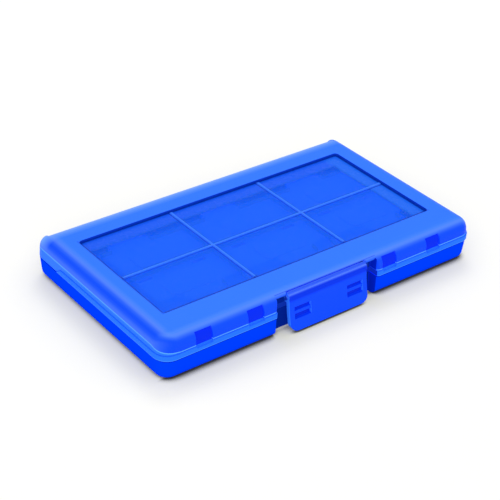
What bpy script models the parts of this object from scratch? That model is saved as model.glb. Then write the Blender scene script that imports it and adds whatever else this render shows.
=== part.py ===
# Slim clamshell case for twelve small game cards, closed.
# Metres, +Z up. The case lies on its bottom, its long side runs along X and its latch faces -Y.
# The origin is the centre of the bounding box, on the table.

import math

import bmesh
import bpy
from mathutils import Matrix

# The cards that the case is made for
card_length = 0.0310
card_width = 0.0210
card_thickness = 0.0033
card_play = 0.0002
card_columns = 3
card_rows = 2

# Room round the cards in the closed case
end_room = 0.0070
side_room = 0.00645
mouth_gap = 0.0004
rim_rise = 0.00125
parting_gap = 0.0003
corner_radius = 0.0045
least_corner = 0.0003
shell_wall = 0.0016
fit_gap = 0.0003
seam_gap = 0.00015

# Lid shell: a frame round the window, with soft edges, a rolled back and an ear at each end of the roll
lid_edge_radius = 0.0036
lid_draft = 0.00015
lid_frame_thickness = 0.0015
spine_radius = 0.0060
ear_radius = 0.0047
ear_width = 0.0030

# Base shell
base_edge_radius = 0.0022
base_step = 0.0003
base_draft = 0.0004
base_floor = 0.0009

# Window pane, with a rim of walls moulded under it that frames each cell
window_inset = 0.0003
window_corner = 0.0012
window_lip = 0.0007
pane_thickness = 0.0006
pane_overlap = 0.0016
pane_wall_height = 0.0015
pane_wall = 0.0010
pane_end_wall = 0.0032
ridge_width = 0.0010
ridge_height = 0.0003
cell_block = 0.0070
cell_neck_wall = 0.00235
cell_neck_radius = 0.0030

# Card trays
tray_floor = 0.0004
divider_width = 0.0011
tray_margin_x = 0.0012
tray_margin_y = 0.0048
tray_plate = 0.0008
tray_skirt = 0.0007
tray_drop = 0.0034
tray_lip = 0.0008
skirt_height = 0.0027
pocket_corner = 0.0006
scoop_width_share = 0.427
scoop_offset = 0.0020
scoop_reach = 0.0036
scoop_radius = 0.0028
tab_width = 0.0046
tab_spread_share = 0.58
tab_offset = 0.0012
tab_reach = 0.0005
tab_thickness = 0.0004
port_depth = 0.0012
pad_length_share = 0.465
pad_width_share = 0.60
pad_corner = 0.0018
pad_step = 0.00015
pad_offset_x = 0.0016
pad_offset_y = 0.0007

# Band of the lid tray that shows under the lid shell
band_height = 0.0015
band_step = 0.00025
band_back_end = 0.0149
band_end_slant = 0.0021

# Snap hooks that hold the lid tray in the windows of the lid shell
hook_width = 0.0052
hook_land = 0.00595
hook_outer_share = 0.533
hook_offset = -0.0014
hook_drop = 0.0012
hook_inset = 0.0004
hook_root = 0.0005

# Notch for the latch
notch_width = 0.0364
notch_depth = 0.0036
notch_corner = 0.0008
notch_wall = 0.0014
notch_lip_depth = 0.0018

# Latch, clipped on a rod that a thin web joins to the lid
latch_width = 0.0283
latch_bottom = 0.0007
latch_proud = 0.00015
latch_bulge = 0.0013
latch_lean_share = 0.55
latch_thickness = 0.00165
latch_corner = 0.0026
latch_edge = 0.0004
rod_radius = 0.0006
rod_web = 0.0006
rod_stop = 0.0008
clip_play = 0.00025
clip_room_gap = 0.00017
lip_past_rod = 0.00001
clip_wall = 0.00075
groove_radius = 0.00028
groove_out = 0.00005
slot_length = 0.0059
slot_height = 0.0014
slot_bar = 0.0009
slot_depth = 0.0009
bar_depth = 0.0003
slot_spread = 0.0190
slot_drop = 0.0072
catch_length = 0.0200
catch_height = 0.0036
catch_thickness = 0.0008
catch_reach = 0.0015

# Hinge
knuckle_radius = 0.0019
knuckle_length = 0.0050
knuckle_root = 0.0010
pin_radius = 0.00075
pin_play = 0.00015
pin_recess = 0.0003
hinge_end = 0.0180
axis_overhang = 0.0012

# Angles, counts and the reach by which each cutter passes what it cuts
rod_angle = 145
clip_start_angle = 95
clip_end_angle = 296
web_angle = -29.5
groove_angle = 130
corner_steps = 6
arc_steps = 8
curve_steps = 10
round_steps = 28
smooth_angle = 35
overrun = 0.0010

# Places that follow from the sizes
pocket_length = card_length + 2 * card_play
pocket_width = card_width + card_play
pocket_depth = card_thickness + tab_thickness
pitch_x = pocket_length + divider_width
pitch_y = pocket_width + divider_width
field_x = (card_columns * pitch_x - divider_width) / 2
field_y = (card_rows * pitch_y - divider_width) / 2
block_x = field_x + tray_margin_x
block_y = field_y + tray_margin_y
case_length = 2 * (block_x + end_room)
case_depth = 2 * (block_y + side_room)
front = -case_depth / 2
back = case_depth / 2
base_pocket_floor = base_floor + fit_gap + tray_floor
base_mouth = base_pocket_floor + pocket_depth
lid_mouth = base_mouth + mouth_gap
lid_pocket_floor = lid_mouth + pocket_depth
lid_tray_top = lid_pocket_floor + tray_floor
case_height = lid_tray_top + tray_drop
base_top = base_mouth + rim_rise - parting_gap / 2
lid_bottom = base_top + parting_gap
hinge_y = back + axis_overhang
hinge_z = case_height / 2
hinge_x = case_length / 2 - hinge_end
window_length = 2 * field_x
window_depth = 2 * (field_y - window_inset)
pane_top = case_height - window_lip - fit_gap
pane_bottom = pane_top - pane_thickness
cell_near = pane_wall / 2
cell_far = window_depth / 2 - cell_block
cell_neck = window_depth / 2 - cell_neck_wall
scoop_width = scoop_width_share * pocket_length
tab_spread = tab_spread_share * pocket_length
band_top = lid_bottom + band_height
band_end = back - band_back_end
lid_inset = band_step + lid_draft
lid_ceiling = case_height - lid_frame_thickness
hook_top = case_height - hook_drop
lid_edge_y = front + lid_inset + lid_edge_radius
lid_edge_z = case_height - lid_edge_radius
clip_inner = rod_radius + clip_play
clip_outer = clip_inner + clip_wall
rod_reach = lid_edge_radius + latch_proud - clip_outer
rod_y = lid_edge_y + rod_reach * math.cos(math.radians(rod_angle))
rod_z = lid_edge_z + rod_reach * math.sin(math.radians(rod_angle))
latch_front = front - latch_bulge
centre_shift = -(latch_front + hinge_y + knuckle_radius) / 2


def clear_scene():
    for old in list(bpy.data.objects):
        bpy.data.objects.remove(old, do_unlink=True)


def add_object(name, bm):
    """Makes an object of the shape. Every shape is drawn about the window and moved to the origin here."""
    bmesh.ops.recalc_face_normals(bm, faces=bm.faces)
    bmesh.ops.translate(bm, verts=bm.verts, vec=(0, centre_shift, 0))
    mesh = bpy.data.meshes.new(name)
    bm.to_mesh(mesh)
    bm.free()
    obj = bpy.data.objects.new(name, mesh)
    bpy.context.scene.collection.objects.link(obj)
    return obj


def rounded(corners):
    """Outline through the corners (u, v, radius), each turned on its radius."""
    points = []
    for i, (u, v, radius) in enumerate(corners):
        last_u, last_v, _ = corners[i - 1]
        next_u, next_v, _ = corners[(i + 1) % len(corners)]
        if radius == 0:
            points.append((u, v))
            continue
        last_angle = math.atan2(last_v - v, last_u - u)
        next_angle = math.atan2(next_v - v, next_u - u)
        turn = (next_angle - last_angle + math.pi) % math.tau - math.pi
        middle = last_angle + turn / 2
        reach = radius / math.sin(abs(turn) / 2)
        centre_u = u + reach * math.cos(middle)
        centre_v = v + reach * math.sin(middle)
        sweep = math.copysign(math.pi - abs(turn), -turn)
        for step in range(corner_steps + 1):
            angle = middle + math.pi - sweep / 2 + sweep * step / corner_steps
            points.append((centre_u + radius * math.cos(angle), centre_v + radius * math.sin(angle)))
    return points


def rectangle(low_u, high_u, low_v, high_v, radius):
    return rounded([(low_u, low_v, radius), (high_u, low_v, radius), (high_u, high_v, radius), (low_u, high_v, radius)])


def arc(centre_u, centre_v, radius, start, end, steps):
    """Points on a circle, from the start angle to the end angle in degrees."""
    points = []
    for step in range(steps + 1):
        angle = math.radians(start + (end - start) * step / steps)
        points.append((centre_u + radius * math.cos(angle), centre_v + radius * math.sin(angle)))
    return points


def skin(bm, rings):
    """Closed solid through rings of equal counts."""
    rows = [[bm.verts.new(point) for point in ring] for ring in rings]
    for lower, upper in zip(rows, rows[1:]):
        for i in range(len(lower)):
            bm.faces.new((lower[i - 1], lower[i], upper[i], upper[i - 1]))
    bm.faces.new(rows[0])
    bm.faces.new(rows[-1])


def loft_z(name, levels):
    """Solid through outlines (z, points in x and y)."""
    bm = bmesh.new()
    skin(bm, [[(x, y, z) for x, y in outline] for z, outline in levels])
    return add_object(name, bm)


def prisms_z(name, outlines, low, high):
    """One upright prism for each outline."""
    bm = bmesh.new()
    for outline in outlines:
        skin(bm, [[(x, y, z) for x, y in outline] for z in (low, high)])
    return add_object(name, bm)


def prisms_x(name, section, spans):
    """The section, in y and z, drawn along each span of x."""
    bm = bmesh.new()
    for low, high in spans:
        skin(bm, [[(x, y, z) for y, z in section] for x in (low, high)])
    return add_object(name, bm)


def boxes(name, sizes):
    """Boxes that don't meet, each from ((low x, high x), (low y, high y), (low z, high z))."""
    bm = bmesh.new()
    for sides in sizes:
        middle = [(low + high) / 2 for low, high in sides]
        spans = [high - low for low, high in sides]
        bmesh.ops.create_cube(bm, size=1, matrix=Matrix.Translation(middle) @ Matrix.Diagonal((*spans, 1)))
    return add_object(name, bm)


def combine(target, operation, *tools):
    """Joins the tools to the target, or cuts with them, and removes them."""
    for tool in tools:
        step = target.modifiers.new(operation, "BOOLEAN")
        step.operation = operation
        step.solver = "EXACT"
        step.object = tool
    graph = bpy.context.evaluated_depsgraph_get()
    solid = bpy.data.meshes.new_from_object(target.evaluated_get(graph))
    drawn = target.data
    target.modifiers.clear()
    target.data = solid
    bpy.data.meshes.remove(drawn)
    for tool in tools:
        bpy.data.objects.remove(tool, do_unlink=True)
    return target


def round_over(z, top, radius):
    """How far an edge of this radius has drawn in at height z."""
    rise = z - (top - radius)
    if rise <= 0:
        return 0
    return radius - math.sqrt(max(radius * radius - rise * rise, 0))


def arc_heights(top, radius):
    return [top - radius + radius * math.sin(math.radians(90 * step / arc_steps)) for step in range(arc_steps + 1)]


def case_outline(side, rear):
    """Plan of the case, drawn in by side at the ends and the front and by rear at the back."""
    half = case_length / 2 - side
    return rounded([
        (-half, front + side, max(corner_radius - side, least_corner)),
        (half, front + side, max(corner_radius - side, least_corner)),
        (half, back - rear, max(corner_radius - rear, least_corner)),
        (-half, back - rear, max(corner_radius - rear, least_corner)),
    ])


def notch(name, grow, low, high):
    """The latch's notch in plan, grown by a wall."""
    half = notch_width / 2 + grow
    return boxes(name, [((-half, half), (latch_front - overrun, front + notch_depth + grow), (low, high))])


def notch_mouth(name, inset, depth, low, high):
    """The notch as it is cut, with a turned corner at each side where it meets a front drawn in by inset."""
    half = notch_width / 2
    turn = arc(-half - notch_corner, front + inset + notch_corner, notch_corner, -90, 0, corner_steps)
    side = [(-half - notch_corner, latch_front - overrun), *turn, (-half, front + depth)]
    outline = side + [(-x, y) for x, y in reversed(side)]
    return prisms_z(name, [outline], low, high)


def cells():
    """Middle of each card cell and the side of the case that its row is on, -1 in front."""
    for row_side in (-1, 1):
        for column in range(card_columns):
            yield (column - (card_columns - 1) / 2) * pitch_x, row_side * pitch_y / 2, row_side


def plastic(name, colour, roughness, alpha=1):
    """Painted-looking surface of a moulding."""
    material = bpy.data.materials.new(name)
    material.use_nodes = True
    shader = material.node_tree.nodes["Principled BSDF"]
    shader.inputs["Base Color"].default_value = (*colour, 1)
    shader.inputs["Roughness"].default_value = roughness
    shader.inputs["Metallic"].default_value = 0
    shader.inputs["Alpha"].default_value = alpha
    material.diffuse_color = (*colour, alpha)
    return material


def finish(obj, material, axis):
    """Smooth faces, the material, and the empty on whose axis the piece turns."""
    obj.data.materials.clear()
    obj.data.materials.append(material)
    obj.data.shade_smooth()
    obj.data.set_sharp_from_angle(angle=math.radians(smooth_angle))
    if axis:
        obj.parent = axis
        obj.matrix_parent_inverse = axis.matrix_world.inverted()


def joint_empty(name, y, z, parent):
    empty = bpy.data.objects.new(name, None)
    bpy.context.scene.collection.objects.link(empty)
    empty.location = (0, y + centre_shift, z)
    if parent:
        empty.parent = parent
        empty.matrix_parent_inverse = parent.matrix_world.inverted()
    bpy.context.view_layer.update()
    return empty


# Hinge spans along X: a lid knuckle between two base knuckles, at each end of the back

def knuckle_spans(place):
    """Spans of the knuckles at this place in each hinge, 0 in the middle."""
    spans = []
    for side in (-1, 1):
        middle = side * hinge_x
        for step in sorted({-place, place}):
            centre = middle + step * (knuckle_length + fit_gap)
            spans.append((centre - knuckle_length / 2, centre + knuckle_length / 2))
    return spans


def widened(spans, gap):
    return [(low - gap, high + gap) for low, high in spans]


def hinge_circle(radius):
    return arc(hinge_y, hinge_z, radius, 0, 360 - 360 / round_steps, round_steps - 1)


def add_knuckles(body, place, leaf_low, leaf_high):
    """Barrels and the leaves that join them to the back wall, bored for the pin."""
    spans = knuckle_spans(place)
    barrels = prisms_x("barrels", hinge_circle(knuckle_radius), spans)
    leaf = [
        (back - knuckle_root, leaf_low),
        (hinge_y, leaf_low),
        (hinge_y, leaf_high),
        (back - knuckle_root, leaf_high),
    ]
    leaves = prisms_x("leaves", leaf, spans)
    combine(body, "UNION", barrels)
    combine(body, "UNION", leaves)
    bores = prisms_x("bores", hinge_circle(pin_radius + pin_play), widened(spans, fit_gap / 2))
    return combine(body, "DIFFERENCE", bores)


def relieve_for_knuckles(body, place):
    """Grooves in the back wall that the other half's knuckles turn in."""
    spans = widened(knuckle_spans(place), fit_gap)
    grooves = prisms_x("grooves", hinge_circle(knuckle_radius + fit_gap), spans)
    return combine(body, "DIFFERENCE", grooves)


# Card pockets, used by both trays

def pocket_outlines():
    return [
        rectangle(
            x - pocket_length / 2, x + pocket_length / 2, y - pocket_width / 2, y + pocket_width / 2, pocket_corner
        )
        for x, y, _ in cells()
    ]


def mouth_outlines():
    """Pocket outlines at the mouth, with two snap tabs on each long side."""
    outlines = []
    for x, y, row_side in cells():
        half_x = pocket_length / 2
        half_y = pocket_width / 2
        tabs = []
        for step in (-1, 1):
            middle = x - row_side * tab_offset + step * tab_spread / 2
            tabs.append((middle - tab_width / 2, middle + tab_width / 2))
        corners = [(x - half_x, y - half_y, 0)]
        for low, high in tabs:
            corners += [(low, y - half_y, 0), (low, y - half_y + tab_reach, 0)]
            corners += [(high, y - half_y + tab_reach, 0), (high, y - half_y, 0)]
        corners += [(x + half_x, y - half_y, 0), (x + half_x, y + half_y, 0)]
        for low, high in reversed(tabs):
            corners += [(high, y + half_y, 0), (high, y + half_y - tab_reach, 0)]
            corners += [(low, y + half_y - tab_reach, 0), (low, y + half_y, 0)]
        corners += [(x - half_x, y + half_y, 0)]
        outlines.append(rounded(corners))
    return outlines


def scoop_outlines():
    """Finger scoops in the outer wall of each row."""
    outlines = []
    for x, y, row_side in cells():
        middle = x - row_side * scoop_offset
        inner = y
        outer = y + row_side * (pocket_width / 2 + scoop_reach)
        outlines.append(
            rectangle(
                middle - scoop_width / 2, middle + scoop_width / 2, min(inner, outer), max(inner, outer), scoop_radius
            )
        )
    return outlines


def cut_pockets(tray, floor, mouth):
    """Card pockets from the floor to the mouth, whichever way they open."""
    way = math.copysign(1, mouth - floor)
    neck = mouth - way * tab_thickness
    deep = prisms_z("deep", pocket_outlines(), *sorted((floor, neck)))
    mouths = prisms_z("mouths", mouth_outlines(), *sorted((neck - way * tab_thickness, mouth + way * overrun)))
    scoops = prisms_z("scoops", scoop_outlines(), *sorted((floor, mouth + way * overrun)))
    combine(tray, "DIFFERENCE", deep)
    combine(tray, "DIFFERENCE", mouths)
    return combine(tray, "DIFFERENCE", scoops)


def tray_keep(name, low, high):
    """The solid land between the notch and the pockets, which the tray keeps."""
    half = notch_width / 2 + notch_wall + fit_gap + tray_skirt
    return boxes(name, [((-half, half), (latch_front - overrun, -block_y + overrun), (low, high))])


# Base shell: tub with soft bottom edges, a notch in front and two knuckles at each hinge

def make_base_shell():
    levels = []
    for step in range(arc_steps + 1):
        angle = math.radians(90 * step / arc_steps)
        inset = base_step + base_draft + base_edge_radius * (1 - math.sin(angle))
        levels.append((base_edge_radius * (1 - math.cos(angle)), case_outline(inset, inset)))
    levels.append((base_top, case_outline(base_step, base_step)))
    shell = loft_z("base_shell", levels)
    inner_radius = base_edge_radius - shell_wall
    wall = shell_wall + base_step + base_draft
    hollow = []
    for step in range(arc_steps + 1):
        angle = math.radians(90 * step / arc_steps)
        inset = wall + inner_radius * (1 - math.sin(angle))
        hollow.append((base_floor + inner_radius * (1 - math.cos(angle)), case_outline(inset, inset)))
    hollow.append((base_top + overrun, case_outline(wall, wall)))
    cavity = loft_z("cavity", hollow)
    combine(cavity, "DIFFERENCE", notch("notch_walls", notch_wall, -overrun, base_top + 2 * overrun))
    combine(shell, "DIFFERENCE", cavity)
    combine(shell, "DIFFERENCE", notch_mouth("notch", base_step, notch_depth, -overrun, base_top + overrun))
    face = front + notch_depth
    nose = catch_thickness / 2
    catch = [
        (face + notch_wall / 2, catch_height - catch_thickness),
        (face - catch_reach, catch_height - nose),
        (face - catch_reach, catch_height),
        (face + notch_wall / 2, catch_height + catch_reach),
    ]
    combine(shell, "UNION", prisms_x("catch", catch, [(-catch_length / 2, catch_length / 2)]))
    relieve_for_knuckles(shell, 0)
    return add_knuckles(shell, 1, hinge_z - knuckle_radius, base_top)


# Base tray: pockets that open upwards, with a skirt that stands inside the shell

def make_base_tray():
    floor = base_pocket_floor
    mouth = base_mouth
    skirt_low = mouth - skirt_height
    edge = shell_wall + base_step + base_draft + fit_gap
    inner = edge + tray_skirt
    tray = prisms_z("base_tray", [case_outline(edge, edge)], skirt_low, mouth)
    hollow = prisms_z("hollow", [case_outline(inner, inner)], skirt_low - overrun, mouth - tray_plate)
    combine(hollow, "DIFFERENCE", tray_keep("keep", skirt_low - 2 * overrun, mouth))
    combine(tray, "DIFFERENCE", hollow)
    block = boxes("block", [((-block_x, block_x), (-block_y, block_y), (floor - tray_floor, mouth - tray_plate / 2))])
    combine(tray, "UNION", block)
    combine(tray, "DIFFERENCE", notch("notch", notch_wall + fit_gap, -overrun, mouth + overrun))
    return cut_pockets(tray, floor, mouth)


# Lid shell

def lid_outer():
    levels = [(lid_bottom, case_outline(band_step, band_step))]
    heights = arc_heights(case_height, lid_edge_radius)
    for z in heights:
        side = lid_inset + round_over(z, case_height, lid_edge_radius)
        rear = lid_inset + round_over(z, case_height, ear_radius)
        levels.append((z, case_outline(side, rear)))
    return loft_z("lid_shell", levels)


def spine_cutter(name, radius, top):
    """What lies outside the rolled back, between the two ears."""
    centre_y = back - band_step - spine_radius
    centre_z = case_height - spine_radius
    reach = max(ear_radius, spine_radius) + overrun
    section = arc(centre_y, centre_z, radius, 90, 0, arc_steps)
    section += [(centre_y + reach, centre_z), (centre_y + reach, centre_z + reach), (centre_y, centre_z + reach)]
    half = case_length / 2 - ear_width
    return prisms_x(name, section, [(-half, half)])


def lid_hollow():
    """Room inside the lid, under the frame and ahead of the rolled back."""
    wall = lid_inset + shell_wall
    inner_side = lid_edge_radius - shell_wall
    inner_ear = ear_radius - shell_wall
    levels = [(lid_bottom - overrun, case_outline(wall, wall))]
    for z in arc_heights(lid_ceiling, inner_side):
        side = wall + round_over(z, lid_ceiling, inner_side)
        rear = wall + round_over(z, lid_ceiling, inner_ear)
        levels.append((z, case_outline(side, rear)))
    hollow = loft_z("hollow", levels)
    combine(hollow, "DIFFERENCE", notch("notch_walls", notch_wall, lid_bottom - 2 * overrun, case_height))
    return combine(hollow, "DIFFERENCE", spine_cutter("spine_wall", spine_radius - shell_wall, lid_ceiling))


def band_section(gap, top):
    """Side view of the band's room: it stops short of the hinge on a slant."""
    low = lid_bottom - overrun
    ends = [(band_end - gap + band_end_slant * (band_top - z) / band_height, z) for z in (low, top)]
    return [(latch_front - overrun, low), *ends, (latch_front - overrun, top)]


def hook_centres():
    inner = notch_width / 2 + hook_land
    outer = inner + hook_outer_share * (case_length / 2 - inner)
    return [side * reach + hook_offset for reach in (inner, outer) for side in (-1, 1)]


def rod_circle(radius):
    return arc(rod_y, rod_z, radius, 0, 360 - 360 / round_steps, round_steps - 1)


def web_section():
    """The web in side view, from the middle of the rod down into the notch's back wall."""
    along_y = math.cos(math.radians(web_angle))
    along_z = math.sin(math.radians(web_angle))
    wall_y = front + notch_depth + notch_wall / 2
    wall_z = rod_z + (wall_y - rod_y) * along_z / along_y
    half = rod_web / 2
    return [
        (rod_y - half * along_z, rod_z + half * along_y),
        (rod_y + half * along_z, rod_z - half * along_y),
        (wall_y + half * along_z, wall_z - half * along_y),
        (wall_y - half * along_z, wall_z + half * along_y),
    ]


def make_lid_shell():
    shell = lid_outer()
    combine(shell, "DIFFERENCE", spine_cutter("spine_cut", spine_radius, case_height))
    combine(shell, "DIFFERENCE", lid_hollow())

    # The window, and the seat under its rim that the pane lies in
    half_x = window_length / 2
    half_y = window_depth / 2
    opening = rectangle(-half_x, half_x, -half_y, half_y, window_corner)
    combine(shell, "DIFFERENCE", prisms_z("opening", [opening], lid_bottom, case_height + overrun))
    ledge = pane_overlap + fit_gap
    seat = rectangle(-half_x - ledge, half_x + ledge, -half_y - ledge, half_y + ledge, window_corner + ledge)
    combine(shell, "DIFFERENCE", prisms_z("seat", [seat], lid_bottom, case_height - window_lip))

    # The lower wall gives way to the tray's band, in front and at both ends
    low_wall = prisms_x("low_wall", band_section(0, band_top + seam_gap), [(-case_length, case_length)])
    combine(shell, "DIFFERENCE", low_wall)

    # The notch runs up to the frame, whose lip stays over it
    combine(shell, "DIFFERENCE", notch("notch", 0, lid_bottom, lid_ceiling))
    lip = notch_mouth("lip", lid_inset, notch_lip_depth, lid_bottom - overrun, case_height + overrun)
    combine(shell, "DIFFERENCE", lip)

    # Windows for the tray's snap hooks
    windows = boxes("windows", [
        (
            (x - hook_width / 2 - seam_gap, x + hook_width / 2 + seam_gap),
            (front - overrun, front + lid_inset + shell_wall + 2 * fit_gap),
            (lid_bottom, hook_top + seam_gap),
        )
        for x in hook_centres()
    ])
    combine(shell, "DIFFERENCE", windows)

    # Room that the latch's clip turns in, then its rod, the rod's web and a stop at each end
    room = latch_width / 2 + fit_gap
    combine(shell, "DIFFERENCE", prisms_x("clip_room", rod_circle(clip_outer + clip_room_gap), [(-room, room)]))
    edge = boxes("lip_edge", [((-room, room), (front - overrun, rod_y + lip_past_rod), (rod_z, case_height))])
    combine(shell, "DIFFERENCE", edge)
    stops = [(-room - rod_stop, -room), (room, room + rod_stop)]
    reach = room + rod_stop
    combine(shell, "UNION", prisms_x("web", web_section(), [(-reach, reach)]))
    combine(shell, "UNION", prisms_x("rod", rod_circle(rod_radius), [(-reach, reach)]))
    combine(shell, "UNION", prisms_x("stops", rod_circle(clip_inner), stops))

    relieve_for_knuckles(shell, 1)
    return add_knuckles(shell, 0, lid_bottom, hinge_z + knuckle_radius)


# Window pane, with the walls under it that frame each cell

def cell_outline(x, row_side):
    """Clear field of a cell: it reaches from the middle wall to its blocks, with a neck between them."""
    column_end = (card_columns - 1) / 2 * pitch_x
    left = x - pitch_x / 2 + pane_wall / 2
    right = x + pitch_x / 2 - pane_wall / 2
    if x < -column_end / 2:
        left = -window_length / 2 + pane_end_wall
    if x > column_end / 2:
        right = window_length / 2 - pane_end_wall
    middle = x - row_side * scoop_offset
    corners = [
        (left, cell_near, 0),
        (right, cell_near, 0),
        (right, cell_far, 0),
        (middle + scoop_width / 2, cell_far, 0),
        (middle + scoop_width / 2, cell_neck, cell_neck_radius),
        (middle - scoop_width / 2, cell_neck, cell_neck_radius),
        (middle - scoop_width / 2, cell_far, 0),
        (left, cell_far, 0),
    ]
    return [(u, row_side * v) for u, v in rounded(corners)]


def make_lid_window():
    half_x = window_length / 2 + pane_overlap
    half_y = window_depth / 2 + pane_overlap
    flange = rectangle(-half_x, half_x, -half_y, half_y, window_corner + pane_overlap)
    pane = prisms_z("lid_window", [flange], pane_bottom, pane_top)
    half_x = window_length / 2
    half_y = window_depth / 2
    rim = rectangle(-half_x, half_x, -half_y, half_y, window_corner)
    low = pane_bottom - pane_wall_height
    walls = prisms_z("walls", [rim], low, pane_bottom + pane_thickness / 2)
    fields = prisms_z("fields", [cell_outline(x, side) for x, _, side in cells()], low - overrun, pane_bottom)
    combine(walls, "DIFFERENCE", fields)
    combine(pane, "UNION", walls)

    # Low ridges on top that draw the lines between the cells
    half_x -= fit_gap
    half_y -= fit_gap
    ridge_sides = [((-half_x, half_x), (-ridge_width / 2, ridge_width / 2))]
    ridge_sides += [
        ((middle - ridge_width / 2, middle + ridge_width / 2), (-half_y, half_y))
        for middle in ((step - (card_columns - 2) / 2) * pitch_x for step in range(card_columns - 1))
    ]
    for span_x, span_y in ridge_sides:
        ridge = boxes("ridge", [(span_x, span_y, (pane_bottom + pane_thickness / 2, pane_top + ridge_height))])
        combine(pane, "UNION", ridge)
    return pane


# Lid tray: pockets that open downwards, the band that shows under the lid shell, and four snap hooks

def make_lid_tray():
    floor = lid_pocket_floor
    mouth = lid_mouth
    edge = lid_inset + shell_wall + fit_gap
    rear = edge + spine_radius - shell_wall - math.sqrt(
        (spine_radius - shell_wall) ** 2 - (lid_tray_top - case_height + spine_radius) ** 2
    )
    inner = edge + tray_skirt
    tray = prisms_z("lid_tray", [case_outline(edge, rear)], lid_bottom, lid_tray_top)
    band = prisms_z("band", [case_outline(0, 0)], lid_bottom, band_top)
    band_room = prisms_x("band_room", band_section(seam_gap, band_top + overrun), [(-case_length, case_length)])
    combine(band, "INTERSECT", band_room)
    combine(tray, "UNION", band)
    hollow = prisms_z("hollow", [case_outline(inner, rear + tray_skirt)], lid_bottom - overrun, lid_tray_top - tray_plate)
    combine(hollow, "DIFFERENCE", tray_keep("keep", lid_bottom - 2 * overrun, lid_tray_top))
    combine(tray, "DIFFERENCE", hollow)
    block = boxes("block", [((-block_x, block_x), (-block_y, block_y), (mouth, lid_tray_top - tray_plate / 2))])
    combine(tray, "UNION", block)

    # Lip that hangs into the base, so that no light shows through the parting
    outer = case_outline(edge + fit_gap, rear)
    lip = prisms_z("lip", [outer], lid_bottom - tray_lip, lid_bottom + tray_skirt)
    inner = case_outline(edge + fit_gap + tray_skirt, rear + tray_skirt)
    combine(lip, "DIFFERENCE", prisms_z("lip_room", [inner], mouth, lid_bottom + 2 * tray_skirt))
    combine(lip, "DIFFERENCE", notch("lip_notch", notch_wall + fit_gap, mouth, lid_bottom + 2 * tray_skirt))
    combine(tray, "UNION", lip)
    combine(tray, "DIFFERENCE", notch_mouth("notch", 0, notch_depth, mouth - overrun, lid_tray_top + overrun))
    combine(tray, "DIFFERENCE", notch("notch_room", notch_wall + fit_gap, band_top, lid_tray_top + overrun))
    cut_pockets(tray, floor, mouth)

    # Ports over the snap tabs along the middle, which let the mould form the tabs
    ports = boxes("ports", [
        (
            (middle - tab_width / 2, middle + tab_width / 2),
            tuple(sorted((row_side * divider_width / 2, row_side * (divider_width / 2 + port_depth)))),
            (floor - tab_thickness, lid_tray_top + overrun),
        )
        for x, _, row_side in cells()
        for middle in (x - row_side * tab_offset - tab_spread / 2, x - row_side * tab_offset + tab_spread / 2)
    ])
    combine(tray, "DIFFERENCE", ports)

    # A raised pad over each card
    pad_length = pad_length_share * pocket_length
    pad_width = pad_width_share * (cell_far - cell_near)
    pad_y = (cell_near + cell_far) / 2 + pad_offset_y
    pads = prisms_z("pads", [
        rectangle(
            x + pad_offset_x - pad_length / 2,
            x + pad_offset_x + pad_length / 2,
            row_side * pad_y - pad_width / 2,
            row_side * pad_y + pad_width / 2,
            pad_corner,
        )
        for x, _, row_side in cells()
    ], lid_tray_top - tray_floor / 2, lid_tray_top + pad_step)
    combine(tray, "UNION", pads)

    # Snap hooks, rounded like the lid's edge, set back from it and from the band below them
    turn = lid_edge_radius - hook_inset
    stop = math.degrees(math.asin(min((hook_top - lid_edge_z) / turn, 1)))
    face = arc(lid_edge_y, lid_edge_z, turn, 180, 180 - stop, arc_steps)
    heel = front + lid_inset + shell_wall + fit_gap
    root = band_top - hook_root
    spans = [(x - hook_width / 2, x + hook_width / 2) for x in hook_centres()]
    steps = boxes("hook_steps", [(span, (front - overrun, lid_edge_y - turn), (root, lid_ceiling)) for span in spans])
    combine(tray, "DIFFERENCE", steps)
    hook = face + [(heel, hook_top), (heel, root), (lid_edge_y - turn, root)]
    return combine(tray, "UNION", prisms_x("hooks", hook, spans))


# Latch

def latch_face(z):
    """The latch's front: it leaves the clip and leans out more towards its foot."""
    down = (rod_z - z) / (rod_z - latch_bottom)
    lean = latch_lean_share * down + (1 - latch_lean_share) * down * down
    top = rod_y - clip_outer
    return top - lean * (top - latch_front)


def latch_section(inset):
    """Side view of the plate with the shoulder that carries the clip, drawn in by inset on its front and back."""
    shoulder_reach = (3 * clip_inner + clip_outer) / 4
    plate_top = rod_z - shoulder_reach
    heights = [latch_bottom + (plate_top - latch_bottom) * step / curve_steps for step in range(curve_steps + 1)]
    forward = [(latch_face(z) + inset, z) for z in heights] + [(rod_y - clip_outer + inset, rod_z)]
    shoulder = [(rod_y - shoulder_reach, rod_z), (rod_y - shoulder_reach, plate_top)]
    rear = [(latch_face(z) + latch_thickness - inset, z) for z in reversed(heights)]
    return forward + shoulder + rear


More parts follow.
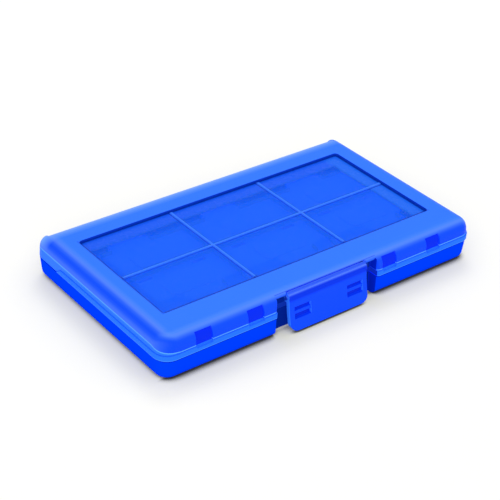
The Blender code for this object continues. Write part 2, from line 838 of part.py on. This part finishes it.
def make_latch():
    half = latch_width / 2
    bm = bmesh.new()
    rings = []
    for step in range(arc_steps + 1):
        angle = math.radians(90 * step / arc_steps)
        inset = latch_edge * (1 - math.sin(angle))
        rings.append((half - latch_edge * (1 - math.cos(angle)), inset))
    sections = [(-x, inset) for x, inset in rings] + [(x, inset) for x, inset in reversed(rings)]
    skin(bm, [[(x, y, z) for y, z in latch_section(inset)] for x, inset in sections])
    latch = add_object("latch", bm)

    # Rounded lower corners
    foot = rounded([
        (-half - overrun, rod_z + overrun, 0),
        (-half - overrun, latch_bottom + latch_corner, 0),
        (-half, latch_bottom + latch_corner, 0),
        (-half, latch_bottom, latch_corner),
        (half, latch_bottom, latch_corner),
        (half, latch_bottom + latch_corner, 0),
        (half + overrun, latch_bottom + latch_corner, 0),
        (half + overrun, rod_z + overrun, 0),
    ])
    bm = bmesh.new()
    skin(bm, [[(x, y, z) for x, z in foot] for y in (latch_front - overrun, front + notch_depth)])
    combine(latch, "INTERSECT", add_object("foot", bm))

    # Clip that snaps on the rod and leaves room for its web, with a groove along its top edge
    ring = arc(rod_y, rod_z, clip_outer, clip_start_angle, clip_end_angle, round_steps)
    ring += arc(rod_y, rod_z, clip_inner, clip_end_angle, clip_start_angle, round_steps)
    combine(latch, "UNION", prisms_x("clip", ring, [(-half, half)]))
    groove_y = rod_y + (clip_outer + groove_out) * math.cos(math.radians(groove_angle))
    groove_z = rod_z + (clip_outer + groove_out) * math.sin(math.radians(groove_angle))
    groove = arc(groove_y, groove_z, groove_radius, 0, 360 - 360 / corner_steps / 2, 2 * corner_steps - 1)
    combine(latch, "DIFFERENCE", prisms_x("groove", groove, [(-half - overrun, half + overrun)]))

    # Hook rib behind the plate. It passes the catch by the fit gap, where the moulded one springs past
    rib_top = catch_height - catch_thickness
    rib_low = rib_top - catch_thickness
    rib_tip = front + notch_depth - catch_reach - fit_gap
    rib = [
        (latch_face(rib_low) + latch_thickness / 2, rib_low),
        (latch_face(rib_low) + latch_thickness, rib_low),
        (rib_tip, rib_top - catch_thickness / 2),
        (rib_tip, rib_top),
        (latch_face(rib_top) + latch_thickness / 2, rib_top),
    ]
    combine(latch, "UNION", prisms_x("rib", rib, [(-catch_length / 2, catch_length / 2)]))

    # Two grip recesses, each with a bar between two deeper slots
    spans = [(side * slot_spread / 2 - slot_length / 2, side * slot_spread / 2 + slot_length / 2) for side in (-1, 1)]
    middle = case_height - slot_drop
    low_slot = middle - (slot_bar + slot_height) / 2
    high_slot = middle + (slot_bar + slot_height) / 2
    for centre, height, depth in (
        (middle, slot_bar + 2 * slot_height, bar_depth),
        (low_slot, slot_height, slot_depth),
        (high_slot, slot_height, slot_depth),
    ):
        heights = [centre + height * (step / curve_steps - 1 / 2) for step in range(curve_steps + 1)]
        section = [(latch_face(z) + depth, z) for z in heights]
        section += [(latch_front - overrun, heights[-1]), (latch_front - overrun, heights[0])]
        combine(latch, "DIFFERENCE", prisms_x("slots", section, spans))
    return latch


def make_hinge_pin(name, side):
    reach = 3 * knuckle_length / 2 + fit_gap - pin_recess
    middle = side * hinge_x
    return prisms_x(name, hinge_circle(pin_radius), [(middle - reach, middle + reach)])


clear_scene()

lid_axis = joint_empty("lid_axis", hinge_y, hinge_z, None)
latch_axis = joint_empty("latch_axis", rod_y, rod_z, lid_axis)

blue = plastic("blue_shell", (0.020, 0.160, 0.900), 0.32)
deep_blue = plastic("blue_base", (0.010, 0.120, 0.800), 0.36)
tray_blue = plastic("blue_tray", (0.060, 0.220, 0.850), 0.38)
clear_blue = plastic("clear_blue", (0.100, 0.300, 0.950), 0.12, 0.35)
latch_blue = plastic("blue_latch", (0.015, 0.140, 0.850), 0.30)
pin_steel = plastic("pin_steel", (0.560, 0.570, 0.580), 0.30)
pin_steel.node_tree.nodes["Principled BSDF"].inputs["Metallic"].default_value = 1

finish(make_base_shell(), deep_blue, None)
finish(make_base_tray(), tray_blue, None)
finish(make_lid_shell(), blue, lid_axis)
finish(make_lid_window(), clear_blue, lid_axis)
finish(make_lid_tray(), tray_blue, lid_axis)
finish(make_latch(), latch_blue, latch_axis)
finish(make_hinge_pin("hinge_pin_left", -1), pin_steel, None)
finish(make_hinge_pin("hinge_pin_right", 1), pin_steel, None)
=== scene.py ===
import bpy
from mathutils import Matrix, Vector

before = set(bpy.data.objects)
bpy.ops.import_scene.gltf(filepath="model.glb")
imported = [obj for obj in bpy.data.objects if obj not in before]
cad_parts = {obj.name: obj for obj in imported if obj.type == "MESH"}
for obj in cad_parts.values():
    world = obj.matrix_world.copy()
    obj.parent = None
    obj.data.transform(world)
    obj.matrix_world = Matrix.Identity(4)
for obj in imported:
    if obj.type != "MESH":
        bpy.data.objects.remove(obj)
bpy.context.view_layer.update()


# Base shell: the glossy tub that the case lies on, injection moulded in a strong blue.
# Its skin has a fine spark-eroded grain and faint flow marks from the gate, and its edges are painted
# paler, as a painted sheen with some rubbing.
# The line under the lid and the walls of the notch for the latch carry painted shade where the gaps are,
# and the shell has a faint painted glow.
mm = 0.001
front = -33.9 * mm
notch_reach = 18.25 * mm
notch_depth = 6.0 * mm
notch_side = 17.7 * mm
parting_low = 6.24 * mm
parting_top = 6.57 * mm
base_blue = (0.0, 0.048, 1.0, 1)
gap_shade = (0.001, 0.014, 0.14, 1)


class Look:
    """A value or colour in a material. Sums on it become nodes."""

    def __init__(self, tree, socket):
        self.tree = tree
        self.socket = socket

    def node(self, kind, settings, inputs, output=0):
        """Adds a node of this kind, with its settings and then its sockets filled in."""
        made = self.tree.nodes.new(kind)
        for name, value in settings.items():
            if name == "stops":
                ramp = made.color_ramp
                for stop, (place, shade) in enumerate(value):
                    element = ramp.elements[stop] if stop < 2 else ramp.elements.new(place)
                    element.position = place
                    element.color = shade
            else:
                setattr(made, name, value)
        for name, value in inputs.items():
            if isinstance(value, Look):
                self.tree.links.new(value.socket, made.inputs[name])
            else:
                made.inputs[name].default_value = value
        return Look(self.tree, made.outputs[output])

    def sum(self, operation, other=0.0, flipped=False):
        """One Math node, with the other value first where it is flipped."""
        first, second = (other, self) if flipped else (self, other)
        return self.node("ShaderNodeMath", {"operation": operation}, {0: first, 1: second})

    def __add__(self, other):
        return self.sum("ADD", other)

    def __radd__(self, other):
        return self.sum("ADD", other, flipped=True)

    def __sub__(self, other):
        return self.sum("SUBTRACT", other)

    def __rsub__(self, other):
        return self.sum("SUBTRACT", other, flipped=True)

    def __mul__(self, other):
        return self.sum("MULTIPLY", other)

    def __rmul__(self, other):
        return self.sum("MULTIPLY", other, flipped=True)

    def __truediv__(self, other):
        return self.sum("DIVIDE", other)

    def __rtruediv__(self, other):
        return self.sum("DIVIDE", other, flipped=True)

    def most(self, other):
        return self.sum("MAXIMUM", other)

    def least(self, other):
        return self.sum("MINIMUM", other)

    def root(self):
        return self.sum("SQRT")

    def ramp(self, reach, *stops):
        """Colours at places from 0 to reach, blended in between."""
        stops = [(place / reach, colour) for place, colour in stops]
        return self.node("ShaderNodeValToRGB", {"stops": stops}, {"Fac": self / reach})

    def rise(self, low, high):
        """0 below low, 1 above high, with a soft step between."""
        return self.node(
            "ShaderNodeMapRange",
            {"interpolation_type": "SMOOTHSTEP"},
            {"Value": self, "From Min": low, "From Max": high, "To Min": 0.0, "To Max": 1.0},
        )

    def past(self, place, soft=0.1 * mm):
        """1 beyond this place and 0 before it, with a short soft step after it."""
        return self.rise(place, place + soft)

    def within(self, low, high):
        """1 between low and high, 0 outside, with soft steps."""
        soft = 0.04 * mm
        return self.rise(low - soft, low + soft) * (1.0 - self.rise(high - soft, high + soft))

    def along(self, axis):
        """The part of a place or direction along this axis, as a number."""
        return self.node("ShaderNodeVectorMath", {"operation": "DOT_PRODUCT"}, {0: self, 1: axis}, "Value")

    def noise(self, scale, detail, **more):
        """Even, random mottling over the places on a piece."""
        inputs = {"Vector": self, "Scale": scale, "Detail": detail, **more}
        return self.node("ShaderNodeTexNoise", {}, inputs)

    def tint(self, first, second):
        """Colour between the first, at 0, and the second, at 1."""
        return self.node("ShaderNodeMix", {"data_type": "RGBA"}, {0: self, 6: first, 7: second}, 2)


def start_material(name):
    """A new material, its shader, and the place on the piece as a value to build on."""
    material = bpy.data.materials.new(name)
    material.use_nodes = True
    tree = material.node_tree
    shader = tree.nodes["Principled BSDF"]
    where = Look(tree, tree.nodes.new("ShaderNodeTexCoord").outputs["Object"])
    return material, shader, where


def feed(shader, **inputs):
    """Sets or links the shader's own sockets."""
    for name, value in inputs.items():
        socket = shader.inputs[name.replace("_", " ")]
        if isinstance(value, Look):
            value.tree.links.new(value.socket, socket)
        else:
            socket.default_value = value


def axes(where):
    """The three coordinates of a place on the piece, as numbers."""
    return [where.along(axis) for axis in ((1.0, 0.0, 0.0), (0.0, 1.0, 0.0), (0.0, 0.0, 1.0))]


def facing(where, axis, low, high):
    """1 on faces that look along this axis of the piece, 0 on faces that look across it."""
    return Look(where.tree, where.socket.node.outputs["Normal"]).along(axis).rise(low, high)


class Moulding:
    """Moulded plastic. Its colour is built up in layers, the last one on top."""

    edge_reach = 0.2 * mm
    edge_share = 0.15
    flow_share = 0.05
    grain_depth = 0.004 * mm

    def __init__(self, name, top, side, roughness, shine=0.06):
        """One colour for faces that look up and one for all the others, as painted shading from above, with
        faint flow marks.
        """
        self.material, self.shader, self.where = start_material(name)
        self.x, self.y, self.z = axes(self.where)
        self.up = facing(self.where, (0.0, 0.0, 1.0), low=0.66, high=0.96)
        flow = self.where.noise(scale=28.0, detail=3.0, Distortion=0.6).rise(0.35, 0.72)
        self.colour = (self.up * (1.0 - self.flow_share * flow)).tint(side, top)
        self.roughness = roughness
        self.shine = shine

    def plan(self, x_low, x_high, y_low, y_high):
        """1 over this stretch of the case, seen from above, and 0 outside it."""
        return self.x.within(x_low, x_high) * self.y.within(y_low, y_high)

    def in_notch(self, start):
        """1 in the notch for the latch, from this far behind the front of the case to its back."""
        return self.plan(-notch_reach, notch_reach, front + start, front + notch_depth)

    def paint(self, mask, colour):
        """Lays a colour over the others where the mask is 1."""
        self.colour = mask.tint(self.colour, colour)

    def done(self, pale, painted_glow=(0.0, 0.008, 0.16, 1)):
        """Pales the edges as a painted sheen with some rubbing, grains the skin, adds a faint painted glow
        and gives the finished material.
        """
        # Painted edge sheen with some rubbing, where the bevelled normal turns away from the face.
        rounded = self.where.node("ShaderNodeBevel", {"samples": 6}, {"Radius": self.edge_reach})
        straight = self.where.node("ShaderNodeNewGeometry", {}, {}, "Normal")
        edge_sheen_and_wear = (1.0 - rounded.along(straight)).rise(0.01, 0.22)
        edge_patchiness = 0.6 + 0.4 * self.where.noise(scale=900.0, detail=3.0)
        self.paint(edge_sheen_and_wear * edge_patchiness * self.edge_share, pale)
        smudge = self.where.noise(scale=75.0, detail=5.0, Roughness=0.65).rise(0.4, 0.75)
        grain = self.where.noise(scale=5200.0, detail=2.0)
        skin = self.where.node(
            "ShaderNodeBump",
            {},
            {"Strength": 0.35, "Distance": self.grain_depth, "Height": grain, "Normal": rounded},
        )
        feed(
            self.shader,
            Base_Color=self.colour,
            Roughness=self.roughness + 0.10 * smudge + 0.05 * grain,
            Specular_IOR_Level=self.shine,
            Emission_Color=painted_glow,
            Emission_Strength=1.0,
            Normal=skin,
        )
        return self.material


def dress(node, material):
    """The CAD solid keeps its shape and takes the finish."""
    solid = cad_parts[node]
    solid.data.materials.clear()
    solid.data.materials.append(material)


base = Moulding("base_blue", base_blue, base_blue, roughness=0.30, shine=0.0)
upright = 1.0 - facing(base.where, (0.0, 0.0, 1.0), low=0.3, high=0.6)
base.paint(base.z.within(parting_low, parting_top) * upright, (0.0, 0.003, 0.02, 1))
notch = base.in_notch(start=0.4 * mm)
base.paint(notch, gap_shade)
base.paint(notch * base.x.past(notch_side), (0.0, 0.008, 0.48, 1))
dress("base_shell", base.done(pale=(0.0, 0.07, 1.0, 1)))


# Base tray: the insert that lies in the base shell, with six card pockets that open upwards.
# It is injection moulded in a lighter, slightly milky blue; its walls are painted deeper as shade, and it
# has a painted glow.
tray = Moulding("tray_blue", (0.014, 0.190, 1.0, 1), (0.001, 0.070, 0.80, 1), roughness=0.28, shine=0.10)
dress("base_tray", tray.done(pale=(0.06, 0.36, 1.0, 1), painted_glow=(0.004, 0.030, 0.36, 1)))


# Hinge pins: two straight lengths of steel wire, each run through the three knuckles of a hinge.
# The wire is drawn through a die, which leaves fine lines along it.
steel, shader, where = start_material("drawn_steel")
line_depth = 0.004 * mm
stretched = where.node("ShaderNodeMapping", {}, {"Vector": where, "Scale": (40.0, 4000.0, 4000.0)})
lines = stretched.noise(scale=1.0, detail=3.0)
feed(
    shader,
    Base_Color=lines.tint((0.50, 0.51, 0.53, 1), (0.66, 0.67, 0.68, 1)),
    Roughness=0.22 + 0.2 * lines,
    Metallic=1.0,
    Normal=where.node("ShaderNodeBump", {}, {"Strength": 0.2, "Distance": line_depth, "Height": lines}),
)
for side in ("left", "right"):
    dress(f"hinge_pin_{side}", steel)


# Lid tray: the insert under the lid, moulded in the lighter blue, with six pockets that open downwards.
# Its edge shows as the lighter band round the case, with a painted highlight line along its foot, and its
# four snap hooks hold it in the front windows of the lid shell. Its pocket walls, hooks and notch carry
# painted shade, and it has a painted glow, stronger under the back and right of the frame.
band_low = 6.7 * mm
band_top = 8.2 * mm
band_line = 0.25 * mm
hook_low = band_top + 0.1 * mm
hook_back = front + 3.0 * mm
insert_side = 16.9 * mm
wall_reach = 54.2 * mm
pocket_reach = 49.0 * mm
pocket_front = -23.5 * mm
pocket_back = 24.0 * mm
back_shade = (13.0 * mm, 20.0 * mm)
right_shade = (41.0 * mm, 46.0 * mm)


def outer_wall(piece, depth, back):
    """1 on the outer walls beside the notch, and 0 on what lies within them."""
    within_walls = piece.plan(-wall_reach, wall_reach, front + depth, back)
    return (1.0 - within_walls) * (1.0 - piece.x.within(-notch_reach, notch_reach))


insert = Moulding("insert_blue", (0.020, 0.185, 1.0, 1), (0.020, 0.178, 1.0, 1), roughness=0.28, shine=0.02)
pockets = insert.plan(-pocket_reach, pocket_reach, pocket_front, pocket_back)
# Painted shade on the pocket walls.
insert.paint(pockets * (1.0 - insert.up), (0.001, 0.060, 0.78, 1))
walls = outer_wall(insert, depth=2.2 * mm, back=31.0 * mm)
insert.paint(walls * insert.z.within(band_low, band_low + band_line), (0.050, 0.26, 1.0, 1))
# Painted shade on the hooks in their windows, and in the notch.
hooks = insert.z.past(hook_low, soft=0.02 * mm) * (1.0 - insert.y.past(hook_back))
insert.paint(hooks, (0.0, 0.010, 0.66, 1))
notch = insert.in_notch(start=-1.0 * mm)
insert.paint(notch, gap_shade)
insert.paint(notch * insert.x.past(insert_side), (0.0, 0.0, 0.30, 1))
# Painted glow, stronger under the back and right of the frame.
under_frame = insert.y.rise(*back_shade).most(insert.x.rise(*right_shade)) * pockets
painted_glow = under_frame.tint((0.003, 0.020, 0.28, 1), (0.010, 0.075, 0.75, 1))
dress("lid_tray", insert.done(pale=(0.06, 0.30, 1.0, 1), painted_glow=painted_glow))


# Lid window: a clear blue plastic pane, with the walls that frame the six cells moulded under it.
# It lies under the rim of the lid shell, and the walls show through it as light lines, each with a painted
# shade line beside it.
# Painted shade deepens it along the back and the right, under the walls of the opening, and along its rim;
# the walls under its skin are deeper, with a painted glow.
pitch = 32.5 * mm
cell_middle = -0.9 * mm
wall_line = (-0.60 * mm, 0.15 * mm)
wall_shade_band = (-0.95 * mm, -0.62 * mm)
back_shade = (14.0 * mm, 17.8 * mm)
right_shade = (41.5 * mm, 44.3 * mm)
pane_across = (-47.1 * mm, 47.8 * mm)
pane_along = (-19.8 * mm, 21.2 * mm)
pane_skin = 11.9 * mm
ripple_depth = 0.02 * mm
rim_shade_blue = (0.004, 0.065, 0.55, 1)
clear_blue, shader, where = start_material("clear_blue")
x, y, z = axes(where)
y = y - cell_middle
line = wall_shade_line = 0.0
for across in (x + pitch / 2, x - pitch / 2, y):
    line = across.within(*wall_line).most(line)
    wall_shade_line = across.within(*wall_shade_band).most(wall_shade_line)
back_wall_shade = y.rise(*back_shade)
right_wall_shade = x.rise(*right_shade)
rim = 1.0 - x.within(*pane_across) * y.within(*pane_along)
below = 1.0 - z.past(pane_skin)
haze = where.noise(scale=400.0, detail=4.0)
colour = haze.tint((0.006, 0.180, 0.84, 1), (0.008, 0.190, 0.87, 1))
for mask, shade in (
    (back_wall_shade, (0.008, 0.112, 0.92, 1)),
    (right_wall_shade, (0.011, 0.150, 0.92, 1)),
    (wall_shade_line, rim_shade_blue),
    (line, (0.040, 0.215, 1.0, 1)),
    (rim * z.past(pane_skin + 0.1 * mm), rim_shade_blue),
    (below, (0.004, 0.075, 0.74, 1)),
):
    colour = mask.tint(colour, shade)
body = 0.32 + 0.05 * haze + 0.10 * below
for mask, share in ((wall_shade_line, 0.6), (line, 0.9), (back_wall_shade, 0.96), (right_wall_shade, 0.96), (rim, 0.9)):
    body = body.most(mask * share)
ripple = where.noise(scale=60.0, detail=2.0)
feed(
    shader,
    Base_Color=colour,
    Roughness=0.22 + 0.10 * haze,
    Specular_IOR_Level=0.06,
    Emission_Color=below.tint((0.0, 0.0, 0.0, 1), (0.003, 0.040, 0.22, 1)),
    Emission_Strength=1.0,
    Alpha=body,
    Normal=where.node("ShaderNodeBump", {}, {"Strength": 0.15, "Distance": ripple_depth, "Height": ripple}),
)
dress("lid_window", clear_blue)


# Lid shell: the glossy frame with soft edges and a rolled back, injection moulded in one piece.
# Its soft front and left edges carry a painted highlight and a painted dark fold, set by distance from the
# edge, in place of the reflections on the rounded edge.
# The roll along the back carries a painted highlight, and the walls of the opening and of the notch carry
# painted shade.
case_left = -56.4 * mm
fold_reach = 6.0 * mm
roll_start = 24.6 * mm
roll_depth = 4.0 * mm
opening_across = (-48.5 * mm, 48.5 * mm)
opening_along = (-22.6 * mm, 20.9 * mm)
opening_wall = (12.10 * mm, 13.17 * mm)
rim_left = -48.45 * mm
rim_front = -22.4 * mm
rim_width = 0.4 * mm
rim_low = 13.1 * mm
beyond = 60.0 * mm
roof_reach = 14.4 * mm
slit = (-31.75 * mm, -31.50 * mm)
slit_low = 12.20 * mm
slit_middle = 12.66 * mm
slit_top = 12.85 * mm
line_start = 8.55 * mm
line_climb = 1.2 * mm
line_half = 0.15 * mm
shell = Moulding("shell_blue", (0.023, 0.180, 1.0, 1), (0.004, 0.070, 1.0, 1), roughness=0.30)
left = (case_left + fold_reach - shell.x).most(0.0)
ahead = (front + fold_reach - shell.y).most(0.0)
inward = fold_reach - (left * left + ahead * ahead).root()
left_fold_shading = inward.ramp(
    fold_reach,
    (0.0, (0.064, 0.198, 1.0, 1)),
    (0.55 * mm, (0.053, 0.168, 1.0, 1)),
    (1.00 * mm, (0.012, 0.094, 1.0, 1)),
    (1.50 * mm, (0.001, 0.070, 1.0, 1)),
    (1.90 * mm, (0.004, 0.076, 1.0, 1)),
    (2.55 * mm, (0.024, 0.118, 1.0, 1)),
    (3.10 * mm, (0.062, 0.181, 1.0, 1)),
    (3.50 * mm, (0.072, 0.206, 1.0, 1)),
    (4.40 * mm, (0.048, 0.205, 1.0, 1)),
    (5.40 * mm, (0.023, 0.180, 1.0, 1)),
)
front_fold_shading = inward.ramp(
    fold_reach,
    (0.0, (0.004, 0.070, 1.0, 1)),
    (0.90 * mm, (0.005, 0.072, 1.0, 1)),
    (1.15 * mm, (0.008, 0.082, 1.0, 1)),
    (1.70 * mm, (0.038, 0.145, 1.0, 1)),
    (2.00 * mm, (0.062, 0.196, 1.0, 1)),
    (2.30 * mm, (0.082, 0.229, 1.0, 1)),
    (2.70 * mm, (0.082, 0.229, 1.0, 1)),
    (3.10 * mm, (0.058, 0.220, 1.0, 1)),
    (3.80 * mm, (0.034, 0.195, 1.0, 1)),
    (4.60 * mm, (0.023, 0.180, 1.0, 1)),
)
left_share = left / (left + ahead + 0.001 * mm)
fold_shading = left_share.rise(0.35, 1.0).tint(front_fold_shading, left_fold_shading)
shell.paint(1.0 - inward.past(5.90 * mm, soft=0.09 * mm), fold_shading)
# Painted highlight along the roll at the back.
back_roll_sheen = ((shell.y - roll_start).most(0.0) / roll_depth).least(1.0)
shell.paint(back_roll_sheen * shell.z.rise(9.0 * mm, 12.0 * mm), (0.155, 0.365, 0.90, 1))

# Painted shade on the walls of the opening and along the rim at its left and front edges.
opening = shell.plan(*opening_across, *opening_along)
shell.paint(opening * shell.z.within(*opening_wall), (0.003, 0.036, 0.36, 1))
inside_rim = shell.plan(rim_left + rim_width, beyond, rim_front + rim_width, beyond)
rim = shell.plan(rim_left, -rim_left, rim_front, opening_along[1]) * (1.0 - inside_rim)
shell.paint(rim * shell.z.past(rim_low, soft=0.05 * mm) * 0.7, (0.004, 0.090, 0.62, 1))

# Painted shade in the notch, lighter towards its top, painted light on its roof over the latch, a dark and
# a light painted line on the slit over the latch as seam and bead, and painted shade on its right wall.
notch = shell.in_notch(start=1.2 * mm) * (1.0 - shell.z.rise(12.0 * mm, 12.2 * mm))
shell.paint(notch, shell.z.rise(11.2 * mm, 12.1 * mm).tint(gap_shade, (0.015, 0.120, 0.90, 1)))
roof = notch * shell.x.within(-roof_reach, roof_reach) * shell.z.rise(10.0 * mm, 10.5 * mm)
shell.paint(roof, (0.10, 0.28, 1.0, 1))
over_latch = shell.plan(-notch_reach, notch_reach, *slit)
shell.paint(over_latch * shell.z.within(slit_middle, slit_top), (0.040, 0.120, 0.66, 1))
shell.paint(over_latch * shell.z.within(slit_low, slit_middle), (0.13, 0.30, 1.0, 1))
shell.paint(notch * shell.x.past(notch_side), (0.0, 0.008, 0.45, 1))

# The foot of the outer walls looks like the band, up to a painted highlight line that climbs on the left
# wall.
above = shell.z - (line_start + line_climb * left_share)
walls = outer_wall(shell, depth=2.0 * mm, back=33.0 * mm)
shell.paint(walls * (1.0 - above.past(0.0, soft=0.02 * mm)), (0.024, 0.195, 1.0, 1))
shell.paint(walls * above.within(-line_half, line_half), (0.11, 0.42, 1.0, 1))
dress("lid_shell", shell.done(pale=(0.05, 0.22, 1.0, 1)))


# Latch: the leaning plate that clips on the rod in the notch of the lid, moulded in the same blue.
# Its top edge is rolled round the clip, with a fine bead and groove along the roll painted light and dark
# as highlight and shade, and it has two pairs of grip slots, painted dark as shade. Painted shade lies
# under the roll, and the left side is painted lighter, as lit from there.
roll_front = -31.0 * mm
roll_reach = 2.4 * mm
grip_near = 6.55 * mm
grip_far = 12.45 * mm
slot_lows = (4.15 * mm, 6.45 * mm)
slot_height = 1.4 * mm
plate_shade = (9.3 * mm, 10.4 * mm)
roll_low = 11.0 * mm
latch = Moulding("latch_blue", (0.004, 0.070, 1.0, 1), (0.004, 0.068, 1.0, 1), roughness=0.30)
roll_shading = (roll_front - latch.y).ramp(
    roll_reach,
    (0.0, (0.070, 0.185, 0.79, 1)),
    (0.85 * mm, (0.069, 0.181, 0.79, 1)),
    (1.02 * mm, (0.032, 0.113, 0.71, 1)),
    (1.18 * mm, (0.019, 0.085, 0.70, 1)),
    (1.32 * mm, (0.023, 0.092, 0.76, 1)),
    (1.42 * mm, (0.033, 0.113, 0.80, 1)),
    (1.52 * mm, (0.071, 0.178, 0.85, 1)),
    (1.63 * mm, (0.105, 0.240, 0.95, 1)),
    (1.85 * mm, (0.105, 0.240, 0.95, 1)),
    (1.96 * mm, (0.060, 0.145, 0.82, 1)),
    (2.03 * mm, (0.033, 0.092, 0.78, 1)),
    (2.10 * mm, (0.015, 0.059, 0.74, 1)),
    (2.16 * mm, (0.003, 0.034, 0.72, 1)),
    (2.22 * mm, (0.000, 0.028, 0.72, 1)),
)
# Painted shade under the roll, deeper towards the top of the plate.
latch.paint(latch.z.rise(*plate_shade), (0.000, 0.031, 0.75, 1))
latch.paint(latch.z.past(roll_low), roll_shading)
grips = latch.x.within(-grip_far, -grip_near) + latch.x.within(grip_near, grip_far)
slots = 0.0
for slot_low in slot_lows:
    slots = latch.z.within(slot_low, slot_low + slot_height) + slots
# Painted shade in the grip slots.
latch.paint(grips * slots, (0.001, 0.020, 0.62, 1))
# Painted light on the left side.
latch.paint(facing(latch.where, (-1.0, 0.0, 0.0), low=0.6, high=0.9), (0.035, 0.23, 0.97, 1))
dress("latch", latch.done(pale=(0.04, 0.16, 1.0, 1)))


# Table: a plain white sheet that the case lies on, far larger than the case.
# It takes the soft shadow of the case, deepened by a painted shadow from ambient occlusion that is darkest
# in front and tinted to cancel the blue that the case throws on it, and it adds a glow of its own where it
# lies clear of it, which only the camera sees, so that it shows as white without more light on the case.
table_reach = 1.5
contact_reach = 3.5 * mm
shadow_reach = 30.0 * mm
shadow_front = -31.5 * mm
corners = [(-table_reach, -table_reach, 0.0), (table_reach, -table_reach, 0.0)]
corners += [(table_reach, table_reach, 0.0), (-table_reach, table_reach, 0.0)]
table = bpy.data.meshes.new("table")
table.from_pydata(corners, [], [(0, 1, 2, 3)])
table_top = bpy.data.objects.new("table", table)
bpy.context.scene.collection.objects.link(table_top)
white, shader, where = start_material("table_white")
tree = white.node_tree
# Painted shadow: the sheet's colour darkens where the case stands close to it.
near = where.node("ShaderNodeAmbientOcclusion", {"samples": 16}, {"Distance": contact_reach}, "AO")
wide = where.node("ShaderNodeAmbientOcclusion", {"samples": 16}, {"Distance": shadow_reach}, "AO")
beside = axes(where)[1].past(shadow_front, soft=1.0 * mm)
dark = beside.tint((0.10, 0.10, 0.08, 1), (0.50, 0.49, 0.30, 1))
bright = wide.rise(0.5, 1.0).tint((0.75, 0.74, 0.55, 1), (0.765, 0.762, 0.75, 1))
clear = (near + 0.16 * beside).rise(0.30, 0.80)
feed(shader, Base_Color=clear.tint(dark, bright), Roughness=0.9, Specular_IOR_Level=0.0)
camera_ray = Look(tree, tree.nodes.new("ShaderNodeLightPath").outputs["Is Camera Ray"])
white_glow = clear.tint((0.0, 0.0, 0.0, 1), (0.25, 0.25, 0.22, 1))
lit = where.node("ShaderNodeEmission", {}, {"Color": white_glow, "Strength": camera_ray})
both = where.node("ShaderNodeAddShader", {}, {0: Look(tree, shader.outputs[0]), 1: lit})
tree.links.new(both.socket, tree.nodes["Material Output"].inputs["Surface"])
table_top.data.materials.append(white)


# Light: a pale room and two large soft lamps, one high at the back right and one at the front left.
# They light the case at a plain level, so that each colour shows about as it is written.
room_level = 0.80
world = bpy.data.worlds.new("room")
bpy.context.scene.world = world
world.use_nodes = True
world.node_tree.nodes["Background"].inputs["Color"].default_value = (1, 1, 1, 1)
world.node_tree.nodes["Background"].inputs["Strength"].default_value = room_level


def lamp(name, place, width, height, power):
    """A rectangular soft lamp that looks at the case."""
    data = bpy.data.lights.new(name, "AREA")
    data.shape = "RECTANGLE"
    data.size = width
    data.size_y = height
    data.energy = power
    made = bpy.data.objects.new(name, data)
    made.location = place
    made.rotation_euler = (-Vector(place)).to_track_quat("-Z", "Y").to_euler()
    bpy.context.scene.collection.objects.link(made)


lamp("over", place=(0.37, 0.48, 0.79), width=0.45, height=0.35, power=1.8)
lamp("front", place=(-0.75, -0.80, 0.45), width=1.4, height=0.9, power=5.0)


# Camera: a long lens at the front left, looking down, as the photograph was taken.
# Its place, turn and lens were fitted to the straight edges of the case.
camera_data = bpy.data.cameras.new("camera")
camera_data.sensor_width = 36
camera_data.lens = 100.25
camera_data.clip_end = 10
camera = bpy.data.objects.new("camera", camera_data)
place = Vector((-0.2200, -0.2694, 0.2253))
right = Vector((0.7929, -0.6079, 0.0416))
up = Vector((0.2989, 0.4475, 0.8428))
toward = Vector((-0.5310, -0.6558, 0.5366))
turn = Matrix((right, up, toward)).transposed().to_4x4()
camera.matrix_world = Matrix.Translation(place) @ turn
bpy.context.scene.collection.objects.link(camera)
bpy.context.scene.camera = camera
bpy.context.scene.view_settings.view_transform = "Standard"
